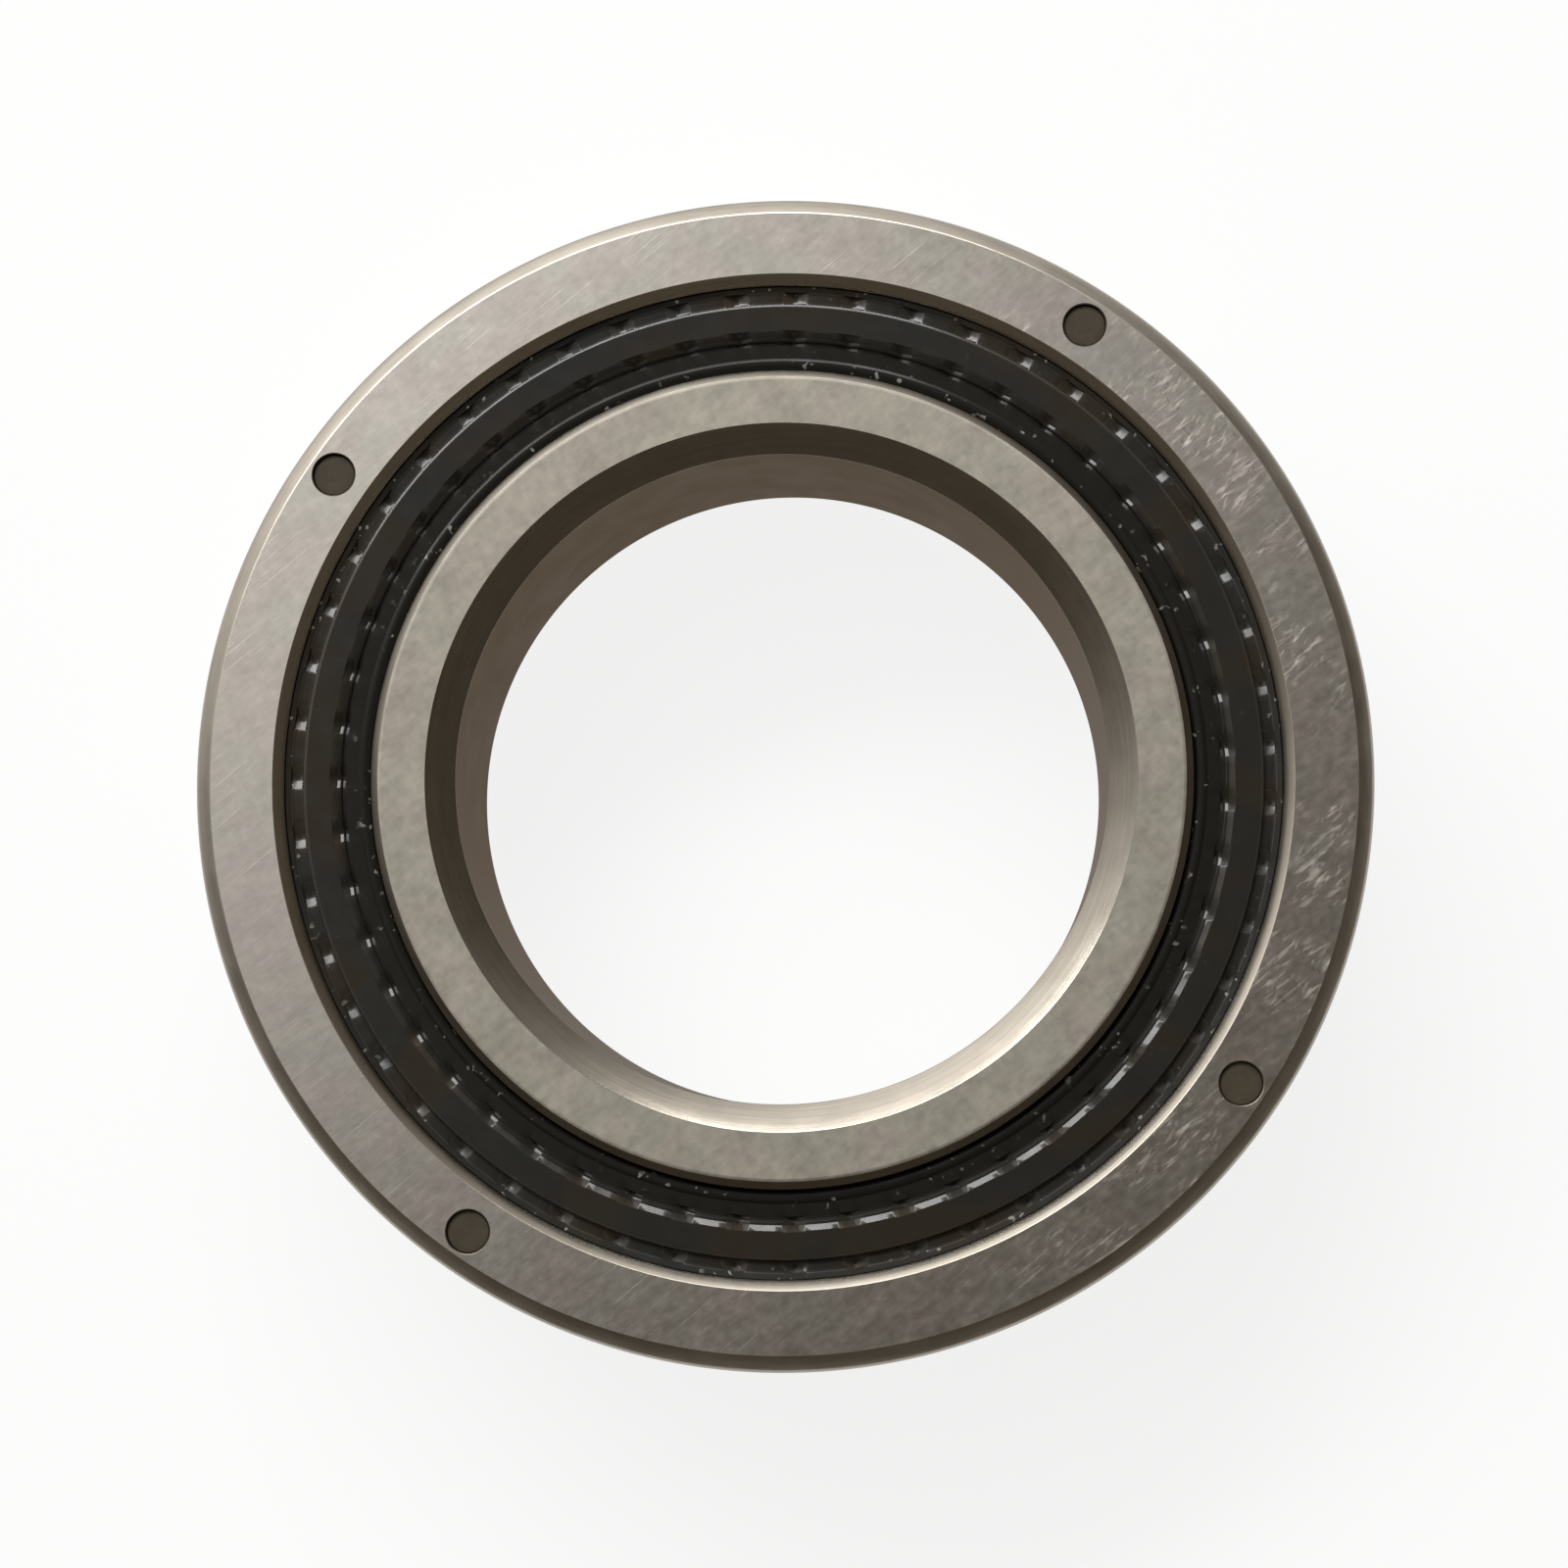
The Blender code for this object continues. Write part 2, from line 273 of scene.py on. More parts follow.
def fillet(piece, places, size, segments=2):
    """Round the edges that run round the axis at the given (radius, height) places."""
    edit(piece, "EDGE")
    choose_edges(piece, on_ring(places))
    bpy.ops.mesh.bevel(offset=size * MM, segments=segments, affect="EDGES", clamp_overlap=True)
    finish_edit()


def use_modifier(piece, kind, **settings):
    """Add a modifier with these settings and apply it."""
    make_active(piece)
    bpy.ops.object.modifier_add(type=kind)
    modifier = piece.modifiers[-1]
    for setting, value in settings.items():
        setattr(modifier, setting, value)
    bpy.ops.object.modifier_apply(modifier=modifier.name)


def flat_face(face):
    middle = face.calc_center_median()
    at_face = min(abs(middle.z), abs(middle.z - WIDTH * MM)) < 0.0001 * MM
    return abs(face.normal.z) > 0.999 and at_face


def smooth(piece, angle=SHARP_ANGLE):
    """Shade round faces smooth while flat faces stay flat."""
    make_active(piece)
    bpy.ops.object.shade_smooth_by_angle(angle=angle)
    edit(piece, "FACE")
    choose_faces(piece, flat_face)
    bpy.ops.mesh.faces_shade_flat()
    finish_edit()
    use_modifier(piece, "WEIGHTED_NORMAL", keep_sharp=True)


def wear(piece, material):
    """Give the whole piece one finish."""
    piece.data.materials.clear()
    piece.data.materials.append(material)


def wear_where(piece, material, wanted):
    """Give the faces that meet the test a finish of their own."""
    piece.data.materials.append(material)
    piece.active_material_index = len(piece.data.materials) - 1
    edit(piece, "FACE")
    choose_faces(piece, wanted)
    bpy.ops.object.material_slot_assign()
    finish_edit()


def both_sides(section):
    """A section that is alike above and below mid width, given as its upper half."""
    lower = [(radius, WIDTH - height) for radius, height in reversed(section)]
    return section + [point for point in lower if abs(point[1] - MID) > 0.0001]


def turned_over(section):
    return [(radius, WIDTH - height) for radius, height in section]


def copy_piece(source, name):
    piece = bpy.data.objects.new(name, source.data.copy())
    piece.data.name = name
    bpy.context.scene.collection.objects.link(piece)
    return piece


def put(piece, radius, angle_deg, height, tilt_deg=0.0):
    """Move a piece that was made on the axis to a place on a circle, leaning outwards."""
    turn = Matrix.Rotation(math.radians(angle_deg), 4, "Z")
    shift = Matrix.Translation(Vector((radius * MM, 0, height * MM)))
    piece.matrix_world = turn @ shift @ Matrix.Rotation(math.radians(tilt_deg), 4, "Y")
    apply_place(piece)
    return piece


def add_rod(name, radius, depth, sides, bottom):
    """A cylinder on the axis that starts at the given height."""
    start_fresh()
    bpy.ops.mesh.primitive_cylinder_add(
        vertices=sides, radius=radius * MM, depth=depth * MM, location=(0, 0, (bottom + depth / 2) * MM)
    )
    piece = name_piece(name)
    apply_place(piece)
    return piece


def end_caps(face):
    return abs(face.normal.z) > 0.99 and len(face.verts) > 4


def rim_edges(one):
    return abs(one.verts[0].co.z - one.verts[1].co.z) < SAME_PLACE


def join_pieces(pieces):
    make_active(pieces[0])
    for piece in pieces[1:]:
        piece.select_set(True)
    bpy.ops.object.join()
    return pieces[0]


def remove_piece(piece):
    start_fresh()
    piece.select_set(True)
    bpy.ops.object.delete()


# Shader maths

class Wire:
    """A node's output, on which sums are written as in Python."""

    def __init__(self, paint, socket):
        self.paint = paint
        self.socket = socket

    def sum_with(self, operation, *values):
        return self.paint.add("ShaderNodeMath", {"operation": operation}, dict(enumerate(values)))

    def __add__(self, other):
        return self.sum_with("ADD", self, other)

    def __radd__(self, other):
        return self.sum_with("ADD", other, self)

    def __sub__(self, other):
        return self.sum_with("SUBTRACT", self, other)

    def __rsub__(self, other):
        return self.sum_with("SUBTRACT", other, self)

    def __mul__(self, other):
        return self.sum_with("MULTIPLY", self, other)

    def __rmul__(self, other):
        return self.sum_with("MULTIPLY", other, self)

    def __truediv__(self, other):
        return self.sum_with("DIVIDE", self, other)

    def __pow__(self, other):
        return self.sum_with("POWER", self, other)

    def above(self, start, end):
        """0 up to start, 1 from end on, and smooth between them."""
        settings = {"interpolation_type": "SMOOTHSTEP"}
        values = {"Value": self, "From Min": start, "From Max": end}
        return self.paint.add("ShaderNodeMapRange", settings, values)


class Paint:
    """One material, made of a Principled shader and the nodes that feed it."""

    def __init__(self, name):
        self.material = bpy.data.materials.new(name)
        self.material.use_nodes = True
        self.tree = self.material.node_tree
        self.shader = self.tree.nodes["Principled BSDF"]
        place = self.add("ShaderNodeTexCoord", output="Object")
        self.place = self.add("ShaderNodeVectorMath", {"operation": "SCALE"}, {0: place, "Scale": 1 / MM})
        parts = self.tree.nodes.new("ShaderNodeSeparateXYZ")
        self.feed(parts.inputs[0], self.place)
        self.x, self.y, self.z = (Wire(self, socket) for socket in parts.outputs)
        self.radius = (self.x * self.x + self.y * self.y) ** 0.5

    def feed(self, socket, value):
        if isinstance(value, Wire):
            self.tree.links.new(value.socket, socket)
        elif socket.type == "RGBA":
            socket.default_value = (*value, 1.0)
        else:
            socket.default_value = value

    def add(self, kind, settings=None, values=None, output=0):
        """Add a node: its settings first, then the values or links of its sockets."""
        node = self.tree.nodes.new(kind)
        for setting, value in (settings or {}).items():
            setattr(node, setting, value)
        for key, value in (values or {}).items():
            self.feed(node.inputs[key], value)
        return Wire(self, node.outputs[output])

    def set_shader(self, **values):
        for name, value in values.items():
            self.feed(self.shader.inputs[name.replace("_", " ")], value)

    def mix(self, first, second, factor):
        values = {0: factor, 6: first, 7: second}
        return self.add("ShaderNodeMix", {"data_type": "RGBA"}, values, output=2)

    def noise(self, size, detail=2.0, shift=0.0, place=None):
        """Noise whose spots are about this many millimetres across."""
        moved = self.add(
            "ShaderNodeVectorMath", {"operation": "ADD"}, {0: place or self.place, 1: (shift, shift, shift)}
        )
        values = {"Vector": moved, "Scale": 1 / size, "Detail": detail}
        return self.add("ShaderNodeTexNoise", None, values)

    def streaks(self, angle_deg, long, wide, detail=2.0, shift=0.0):
        """Noise drawn out along one direction across the face."""
        turned = self.add(
            "ShaderNodeMapping",
            {"vector_type": "TEXTURE"},
            {"Vector": self.place, "Rotation": (0, 0, math.radians(angle_deg)), "Scale": (long, wide, wide)},
        )
        return self.noise(1.0, detail, shift=shift, place=turned)

    def rings(self, long, wide, detail=2.0, shift=0.0):
        """Noise drawn out round the axis."""
        across = (self.radius + self.z) / wide
        values = {0: self.x / long, 1: self.y / long, 2: across}
        round_axis = self.add("ShaderNodeCombineXYZ", None, values)
        return self.noise(1.0, detail, shift=shift, place=round_axis)

    def bump(self, height, microns):
        """Relief of this many microns where the height goes from 0 to 1."""
        values = {"Height": height, "Distance": microns * 0.001 * MM, "Strength": 1.0}
        self.set_shader(Normal=self.add("ShaderNodeBump", None, values))


def shade_of(rgb, factor):
    return tuple(min(1.0, channel * factor) for channel in rgb)


# Finishes

def ground_face_finish(rgb, name, roughness, scratching, contrast=1.0):
    """Surface-ground steel: a short diagonal lay, soft stains, and broken scratches towards +X, whose
    lighter colour is partly painted highlight.
    """
    paint = Paint(name)
    fine = paint.streaks(38, 0.3, 0.12, 2)
    coarse = paint.streaks(36, 0.7, 0.28, 2, shift=7)
    crossing = paint.streaks(-62, 0.5, 0.22, 1, shift=19)
    blotches = paint.noise(1.3, 2, shift=31)
    mottle = paint.noise(0.3, 2, shift=43)
    stains = paint.noise(1.9, 2, shift=53).above(0.4, 0.6)
    strokes = paint.streaks(38, 0.75, 0.17, 2, shift=71).above(0.52, 0.7)
    steep = paint.streaks(60, 0.5, 0.14, 1, shift=83).above(0.56, 0.72)
    dents = paint.streaks(-58, 0.3, 0.13, 1, shift=109).above(0.64, 0.74)
    long_scratches = paint.streaks(40, 3.0, 0.08, 0, shift=97).above(0.68, 0.8)
    # Scratches and dents crowd towards +X: real wear, with the scratches' lighter colour there a painted
    # highlight.
    wear_and_glint_side = 0.15 + 0.85 * paint.x.above(3.0, 14.0)
    worn = paint.noise(1.8, 2, shift=11).above(0.4, 0.6)
    short_scratches = (strokes + steep * 0.6) * worn * wear_and_glint_side
    scratches = (short_scratches + long_scratches * (0.12 + 0.4 * worn)) * scratching
    uneven = (
        (fine - 0.5) * 0.3 + (coarse - 0.5) * 0.7 + (crossing - 0.5) * 0.3
        + (blotches - 0.5) * 0.6 + (mottle - 0.5) * 0.6
    )
    steel = paint.mix(shade_of(rgb, 0.74), shade_of(rgb, 1.22), 0.5 + uneven * contrast)
    pinkish = (rgb[0] * 1.03, rgb[1] * 0.95, rgb[2] * 0.96)
    greenish = (rgb[0] * 0.92, rgb[1], rgb[2] * 0.93)
    tinted = paint.mix(steel, paint.mix(pinkish, greenish, stains), 0.3)
    dented = paint.mix(tinted, shade_of(rgb, 0.55), dents * worn * wear_and_glint_side * scratching * 0.6)
    paint.set_shader(
        # Scratches are drawn in a lighter steel colour: a painted highlight on real scratch marks.
        Base_Color=paint.mix(dented, shade_of(rgb, 1.45), scratches * 0.4),
        Metallic=1.0,
        Roughness=roughness + (coarse - 0.5) * 0.14 + (mottle - 0.5) * 0.12 + scratches * 0.2,
    )
    paint.bump(fine * 0.2 + coarse * 0.6 + crossing * 0.3 + mottle * 0.4 + scratches * 0.35, 3.0)
    return paint.material


def turned_finish(rgb, name, roughness):
    """Turned steel with fine marks round the axis."""
    paint = Paint(name)
    marks = paint.rings(1.5, 0.03, 2)
    bands = paint.rings(4.0, 0.12, 1, shift=23)
    blotches = paint.noise(0.9, 3, shift=41)
    tone = 0.5 + (marks - 0.5) * 0.5 + (bands - 0.5) * 0.6 + (blotches - 0.5) * 0.4
    paint.set_shader(
        Base_Color=paint.mix(shade_of(rgb, 0.7), shade_of(rgb, 1.25), tone),
        Metallic=1.0,
        Roughness=roughness + (blotches - 0.5) * 0.08 + (marks - 0.5) * 0.08,
    )
    paint.bump(marks * 0.6 + bands * 0.5, 1.6)
    return paint.material


def bore_finish(rgb):
    """Bore wall, ground round the axis, with blotches of oil film; its base colour and reflection tint are
    darkened as painted shade inside the bore.
    """
    paint = Paint("ground_bore")
    marks = paint.rings(2.5, 0.035, 3)
    film = paint.noise(1.6, 3, shift=29)
    tone = 0.5 + (marks - 0.5) * 0.5 + (film - 0.5) * 0.6
    paint.set_shader(
        Base_Color=paint.mix(shade_of(rgb, 0.68), shade_of(rgb, 1.3), tone),
        Metallic=1.0,
        Specular_Tint=(0.32, 0.27, 0.23),
        Roughness=0.4 + (film - 0.5) * 0.18,
    )
    paint.bump(marks, 1.5)
    return paint.material


def roller_finish(rgb):
    """Polished rollers with a faint haze."""
    paint = Paint("polished_rollers")
    haze = paint.noise(0.5, 3)
    paint.set_shader(
        Base_Color=paint.mix(shade_of(rgb, 0.9), shade_of(rgb, 1.08), haze),
        Metallic=1.0,
        Roughness=0.12 + haze * 0.1,
    )
    paint.bump(paint.noise(0.06, 2, shift=5), 0.4)
    return paint.material


def pin_finish(rgb):
    """Dull dark oxide on the pins, in faint patches."""
    paint = Paint("dark_pins")
    grain = paint.noise(0.09, 3)
    patches = paint.noise(0.5, 2, shift=13)
    tone = 0.5 + (grain - 0.5) * 0.7 + (patches - 0.5) * 0.9
    paint.set_shader(
        Base_Color=paint.mix(shade_of(rgb, 0.72), shade_of(rgb, 1.35), tone),
        Roughness=0.7 + (patches - 0.5) * 0.2,
        Specular_IOR_Level=0.2,
    )
    paint.bump(grain, 3.0)
    return paint.material


def rubber_finish(rgb, name, gloss):
    """Moulded rubber with an uneven film of grease and a few specks of it near the rings, darkened towards
    the lip as painted shade.
    """
    paint = Paint(name)
    grain = paint.noise(0.045, 2)
    smears = paint.noise(0.8, 3, shift=17)
    beads = paint.noise(0.22, 1, shift=37).above(0.7, 0.78) * smears.above(0.5, 0.6)
    film = smears.above(0.35, 0.75)
    warm = paint.noise(3.0, 1, shift=61).above(0.4, 0.65)
    base = paint.mix(rgb, (rgb[0] * 1.35, rgb[1] * 1.05, rgb[2] * 0.8), warm)
    smeared = paint.mix(base, shade_of(rgb, 1.25), film * 0.5)
    # Painted shade: inside radius 13.85 mm the rubber turns darker and browner towards the lip.
    inside = paint.radius.above(13.45, 13.85)
    near_rings = paint.radius.above(14.85, 15.0) + 1 - paint.radius.above(12.85, 13.3)
    specks = paint.noise(0.24, 1, shift=67).above(0.64, 0.7) * smears.above(0.46, 0.6) * near_rings
    painted_shade_inward = paint.mix((rgb[0] * 0.62, rgb[1] * 0.58, rgb[2] * 0.52), smeared, inside)
    beaded = paint.mix(painted_shade_inward, shade_of(rgb, 1.8), beads * 0.6)
    paint.set_shader(
        Base_Color=paint.mix(beaded, (0.26, 0.25, 0.21), specks * 0.8),
        Roughness=0.26 - film * 0.06 + (grain - 0.5) * 0.06,
        IOR=1.42,
        Specular_IOR_Level=0.15,
        Coat_Weight=gloss + film * 0.1,
        Coat_Roughness=0.14,
        Coat_IOR=1.4,
    )
    paint.bump(grain * 0.25 + smears * 1.2 + beads * 1.2 + specks * 3, 3.0)
    return paint.material


def resin_finish(rgb):
    """Moulded resin with a faint grain."""
    paint = Paint("moulded_resin")
    grain = paint.noise(0.05, 2)
    cloud = paint.noise(0.9, 2, shift=9)
    paint.set_shader(
        Base_Color=paint.mix(shade_of(rgb, 0.86), shade_of(rgb, 1.1), cloud),
        Roughness=0.45 + (grain - 0.5) * 0.12,
    )
    paint.bump(grain, 1.5)
    return paint.material


# Pieces

def inner_section():
    """Upper half of the inner ring, from the bore over the face to the race."""
    return [
        (BORE_R, 7.4), (10.85, 8.0), (12.3, 8.0), (12.55, 7.82), (12.55, 6.7), (13.2, 6.7), (13.2, 5.538),
        (11.76, 4.1), (11.76, MID),
    ]


def outer_section():
    """The upper outer half: face, outside, grease groove, split, race, seal groove and seat."""
    return [
        (17.5, 8.0), (OUTSIDE_R, 7.65), (OUTSIDE_R, 5.0), (17.6, 5.0), (17.6, 4.02), (15.318, 4.02),
        (13.8, 5.538), (13.8, 6.7), (15.55, 6.7), (15.55, 7.2), (15.25, 7.2), (15.25, 7.7), (15.55, 8.0),
    ]


def face_and_rim(face):
    """The flat face and the rounding at its outer edge."""
    radius = radius_of(face.calc_center_median())
    return flat_face(face) or (12.0 < radius < 12.4 and abs(face.normal.z) > 0.88)


def bore_wall(face):
    return abs(radius_of(face.calc_center_median()) - BORE_R) < 0.004 and abs(face.normal.z) < 0.1


def mouth_chamfer(face):
    return BORE_R + 0.01 < radius_of(face.calc_center_median()) < 10.85 and 0.3 < abs(face.normal.z) < 0.99


def seat_chamfer(face):
    return 15.24 < radius_of(face.calc_center_median()) < 15.54 and abs(face.normal.z) > 0.3


def outside_wall(face):
    return radius_of(face.calc_center_median()) > OUTSIDE_R - 0.02 and abs(face.normal.z) < 0.1


class BEARING_OT_inner_ring(bpy.types.Operator):
    """Turn the inner ring, with its face, bore, chamfers and race."""

    bl_idname = "bearing.inner_ring"
    bl_label = "Inner ring"

    def execute(self, context):
        sizes = context.scene.bearing_sizes
        colours = context.scene.bearing_colours
        ring = turn_ring("inner_ring_turned", both_sides(inner_section()), sizes.ring_steps)
        upper = inner_section()
        rim = upper[2:3]
        for corners, share in ((upper[:2], 0.5), (rim, 2.4), (upper[3:7], 0.5)):
            fillet(ring, corners + turned_over(corners), sizes.edge_fillet / MM * share, 3)
        wear(ring, turned_finish(shade_of(colours.turned_steel, 0.6), "turned_inner", 0.28))
        face = ground_face_finish(colours.inner_steel, "ground_inner_face", 0.7, 0.35, 2.0)
        wear_where(ring, face, face_and_rim)
        wear_where(ring, bore_finish(colours.bore_steel_painted_shade), bore_wall)
        mouth = turned_finish(shade_of(colours.turned_steel, 0.88), "turned_mouth", 0.24)
        wear_where(ring, mouth, mouth_chamfer)
        smooth(ring)
        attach(ring, "inner_ring")
        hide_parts("inner_ring")
        return {"FINISHED"}


def pin_hole_cutter(sizes):
    """A rod through both faces that flares at each mouth."""
    radius = sizes.pin_radius / MM + PIN_HOLE_CLEARANCE
    flare = sizes.hole_flare / MM
    cutter = add_rod("pin_hole", radius, WIDTH - 2 * flare, ROUND_SIDES, flare)
    edit(cutter, "FACE")
    for side in (1, -1):
        def chosen(face, side=side):
            return face.normal.z * side > 0.9
        choose_faces(cutter, chosen)
        bpy.ops.mesh.extrude_region_move(TRANSFORM_OT_translate={"value": (0, 0, side * flare * MM)})
        wider = (radius + flare) / radius
        bpy.ops.transform.resize(value=(wider, wider, 1), center_override=(0, 0, 0))
        bpy.ops.mesh.extrude_region_move(TRANSFORM_OT_translate={"value": (0, 0, side * MM)})
    finish_edit()
    return cutter


def hole_cutters(sizes):
    """Every hole of the outer halves in one piece: four for the pins and four for grease."""
    pin_hole = pin_hole_cutter(sizes)
    rods = [put(copy_piece(pin_hole, "pin_hole_cut"), PIN_PITCH_R, angle, 0) for angle in PIN_ANGLES]
    remove_piece(pin_hole)
    grease_hole = add_rod("grease_hole", GREASE_HOLE_R, 4.5, 32, -2.25)
    for angle in PIN_ANGLES:
        rods.append(put(copy_piece(grease_hole, "grease_cut"), PITCH_R + 2.25, angle + 45, MID, 90))
    remove_piece(grease_hole)
    return join_pieces(rods)


class BEARING_OT_outer_halves(bpy.types.Operator):
    """Turn the two halves of the outer ring and drill them for pins and grease."""

    bl_idname = "bearing.outer_halves"
    bl_label = "Outer ring halves"

    def execute(self, context):
        sizes = context.scene.bearing_sizes
        colours = context.scene.bearing_colours
        cutter = hole_cutters(sizes)
        edges = turned_finish(colours.turned_steel, "turned_outer", 0.33)
        face = ground_face_finish(colours.ground_steel, "ground_outer_face", 0.22, 1.0)
        outside = turned_finish(colours.ground_steel, "ground_outside", 0.34)
        seat = turned_finish(shade_of(colours.turned_steel, 1.25), "turned_seat", 0.24)
        for name, node, section in (
            ("outer_half_upper", "outer_ring_upper", outer_section()),
            ("outer_half_lower", "outer_ring_lower", turned_over(outer_section())),
        ):
            half = turn_ring(name, section, sizes.ring_steps)
            fillet(half, section[:1], sizes.edge_fillet / MM)
            fillet(half, section[2:-1], sizes.edge_fillet / MM / 2)
            fillet(half, section[-1:], sizes.edge_fillet / MM * 0.6, 3)
            fillet(half, section[1:2], OUTSIDE_ROUNDING, 5)
            use_modifier(half, "BOOLEAN", operation="DIFFERENCE", solver="EXACT", object=cutter)
            wear(half, edges)
            wear_where(half, face, flat_face)
            wear_where(half, outside, outside_wall)
            wear_where(half, seat, seat_chamfer)
            smooth(half)
            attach(half, "outer_ring")
            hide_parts(node)
        remove_piece(cutter)
        return {"FINISHED"}


class BEARING_OT_joining_pins(bpy.types.Operator):
    """Turn the pins that hold the outer halves together."""

    bl_idname = "bearing.joining_pins"
    bl_label = "Joining pins"

    def execute(self, context):
        sizes = context.scene.bearing_sizes
        recess = sizes.pin_recess / MM
        pin = add_rod("pin", sizes.pin_radius / MM, WIDTH - 2 * recess, ROUND_SIDES, recess)
        edit(pin, "EDGE")
        choose_edges(pin, rim_edges)
        bpy.ops.mesh.bevel(offset=PIN_EDGE * MM, segments=3, affect="EDGES")
        bpy.ops.mesh.select_mode(type="FACE")
        for side in (1, -1):
            choose_faces(pin, lambda face, side=side: end_caps(face) and face.normal.z * side > 0)
            bpy.ops.mesh.inset(thickness=PIN_CENTRE_INSET * MM)
        finish_edit()
        finish = pin_finish(context.scene.bearing_colours.pin_steel)
        wear(pin, finish)
        smooth(pin)
        for index, angle in enumerate(PIN_ANGLES, start=1):
            piece = put(copy_piece(pin, f"pin_{index}_turned"), PIN_PITCH_R, angle, 0)
            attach(piece, "outer_ring")
            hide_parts(f"joining_pin_{index}")
        remove_piece(pin)
        return {"FINISHED"}


# Top of the seal, from its outer wall over the band to the lip
SEAL_TOP = [
    (15.23, 7.15), (15.23, 7.63), (15.21, 7.64), (15.06, 7.612), (15.03, 7.6), (14.94, 7.6),
    (14.8, 7.6), (14.72, 7.6), (14.68, 7.61), (14.65, 7.715), (14.57, 7.75), (14.55, 7.75),
    (14.17, 7.75), (13.85, 7.75), (13.83, 7.75),
    (13.79, 7.75), (13.62, 7.66), (13.52, 7.655), (13.46, 7.55), (13.38, 7.545), (13.36, 7.545),
    (12.99, 7.535), (12.9, 7.575), (12.74, 7.57), (12.64, 7.53), (12.6, 7.48),
]
SEAL_UNDER = [(12.6, 7.05), (14.0, 6.9), (15.5, 6.75), (15.5, 7.15)]
SEAL_FILLETS = [(13.52, 7.655), (12.9, 7.575)]
# Bands of radius inside the two rows of notches, with the depth of a notch there
NOTCH_BANDS = (
    (14.7, 14.74, 0.11), (14.78, 14.96, 0.14), (15.0, 15.045, 0.11),
    (13.37, 13.39, 0.1), (13.44, 13.48, 0.11), (13.49, 13.64, 0.14), (13.78, 13.81, 0.08),
)


def notch_columns(sizes, radius):
    """Angles from a notch's middle at which its sector is divided, up to the sector's edge."""
    half_sector = math.pi / sizes.notch_count
    floor_edge = sizes.notch_floor / MM / radius
    wall = sizes.notch_wall / MM / radius
    wall_edge = floor_edge + wall
    steps = [floor_edge + wall * 0.15, floor_edge + wall * 0.85]
    return [0.0, floor_edge, *steps, wall_edge, (wall_edge + half_sector) / 2, half_sector]


def seal_sector(name, sizes):
    """One notch's share of the upper seal, with its middle at half a sector."""
    sector = draw_section(name, SEAL_TOP + SEAL_UNDER)
    half = notch_columns(sizes, SEAL_NOTCH_R)
    half_sector = half[-1]
    angles = [half_sector - angle for angle in reversed(half)]
    angles += [half_sector + angle for angle in half[1:]]
    bpy.ops.mesh.select_all(action="SELECT")
    for angle, next_angle in zip(angles, angles[1:]):
        spin(1, next_angle - angle)
    close_seams()
    finish_edit()
    fillet(sector, SEAL_FILLETS, SEAL_ROUNDING)
    cut_notches(sector, half, half_sector)
    return sector


def notch_slope(face):
    """The sloping faces of the notches and of the raised band: grease gives them a glossier coat, and their
    lighter colour is painted light that lifts their shade.
    """
    middle = face.calc_center_median()
    return middle.z > 7.3 * MM and 13.2 < radius_of(middle) < 15.05 and 0.2 < face.normal.z < 0.97


def cut_notches(sector, columns, middle):
    """Push each notch's floor below the seal's top, and round the slopes that lead down to it."""
    edit(sector)
    walls = ((1.0, columns[0], columns[1]), (0.9, columns[2], columns[2]), (0.1, columns[3], columns[3]))
    for inner, outer, depth in NOTCH_BANDS:
        for share, start, end in walls:
            def chosen(vertex, inner=inner, outer=outer, start=start, end=end):
                turn = abs(abs(math.atan2(vertex.co.y, vertex.co.x)) - middle)
                in_column = start - 0.0002 < turn < end + 0.0002
                return in_column and inner < radius_of(vertex.co) < outer and vertex.co.z > 7.3 * MM

            choose_vertices(sector, chosen)
            bpy.ops.transform.translate(value=(0, 0, -depth * share * MM))
    finish_edit()


class BEARING_OT_seals(bpy.types.Operator):
    """Model one notch's share of a seal, spin it round, and mirror it for the other side."""

    bl_idname = "bearing.seals"
    bl_label = "Seals"

    def execute(self, context):
        sizes = context.scene.bearing_sizes
        rubber = context.scene.bearing_colours.seal_rubber
        seal = seal_sector("seal_upper_moulded", sizes)
        edit(seal)
        bpy.ops.mesh.select_all(action="SELECT")
        last = sizes.notch_count - 1
        spin(last, 2 * math.pi * last / sizes.notch_count, copies=True)
        close_seams()
        finish_edit()
        seal.rotation_euler.z = sizes.first_notch - math.pi / sizes.notch_count
        apply_place(seal)
        wear(seal, rubber_finish(rubber, "greasy_rubber", 0.05))
        # The slopes wear a 1.6 times lighter rubber with a glossier coat: real grease gloss, plus painted
        # light that lifts their shade.
        wear_where(seal, rubber_finish(shade_of(rubber, 1.6), "greasy_notches", 0.5), notch_slope)
        other = copy_piece(seal, "seal_lower_moulded")
        other.matrix_world = Matrix.Translation((0, 0, WIDTH * MM)) @ Matrix.Diagonal((1, 1, -1, 1))
        apply_place(other)
        edit(other)
        bpy.ops.mesh.select_all(action="SELECT")
        bpy.ops.mesh.normals_make_consistent(inside=False)
        finish_edit()
        for piece, node in ((seal, "upper_seal"), (other, "lower_seal")):
            smooth(piece, SEAL_SHARP_ANGLE)
            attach(piece, "outer_ring")
            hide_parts(node)
        return {"FINISHED"}


